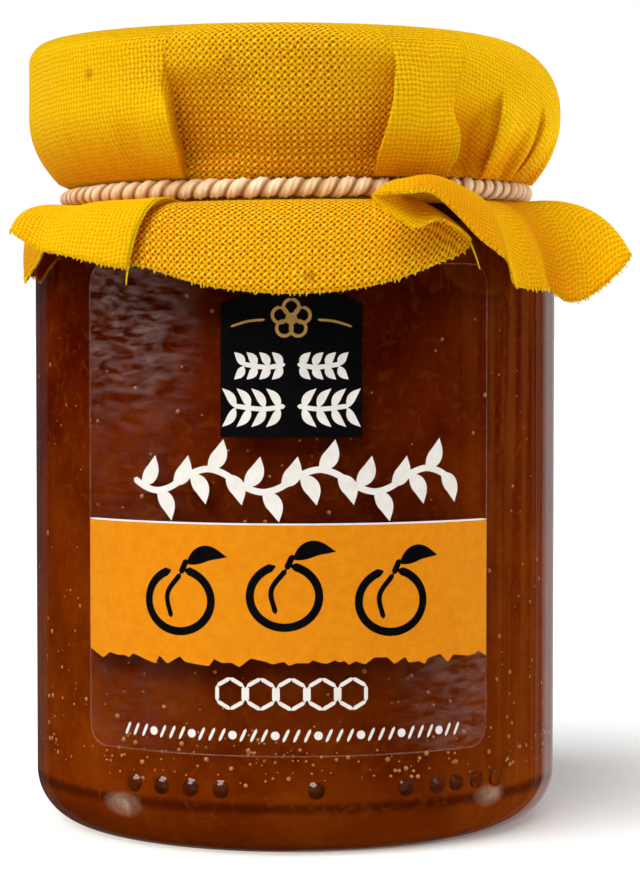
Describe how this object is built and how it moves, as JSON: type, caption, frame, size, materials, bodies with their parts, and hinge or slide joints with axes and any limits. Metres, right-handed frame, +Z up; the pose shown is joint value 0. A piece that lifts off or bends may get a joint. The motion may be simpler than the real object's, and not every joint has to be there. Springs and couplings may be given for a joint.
{
  "type": "jam jar",
  "caption": "Straight-sided glass jar full of jam, with a clear label and a gathered cotton cover tied over the lid with wrapped cord",
  "frame": {"origin": "middle of the jar's flat base, on the jar's axis, where it rests", "axes": "+Z up along the jar's axis; the label faces -Y; +X is to the right seen from the label's side"},
  "size_m": [0.0746, 0.0783, 0.0966],
  "materials": {
    "glass": "clear moulded container glass, glossy",
    "jam": "translucent dark amber jelly with small air bubbles",
    "label": "clear glossy film with a golden printed band",
    "cord": "cream elastic cord wound with cotton yarn",
    "cotton": "golden plain-weave cotton, open and coarse"
  },
  "bodies": {
    "root": {"glass_jar": "glass", "jam": "jam", "label_film": "label", "tie_band": "cord", "cloth_cover": "cotton"}
  },
  "joints": []
}
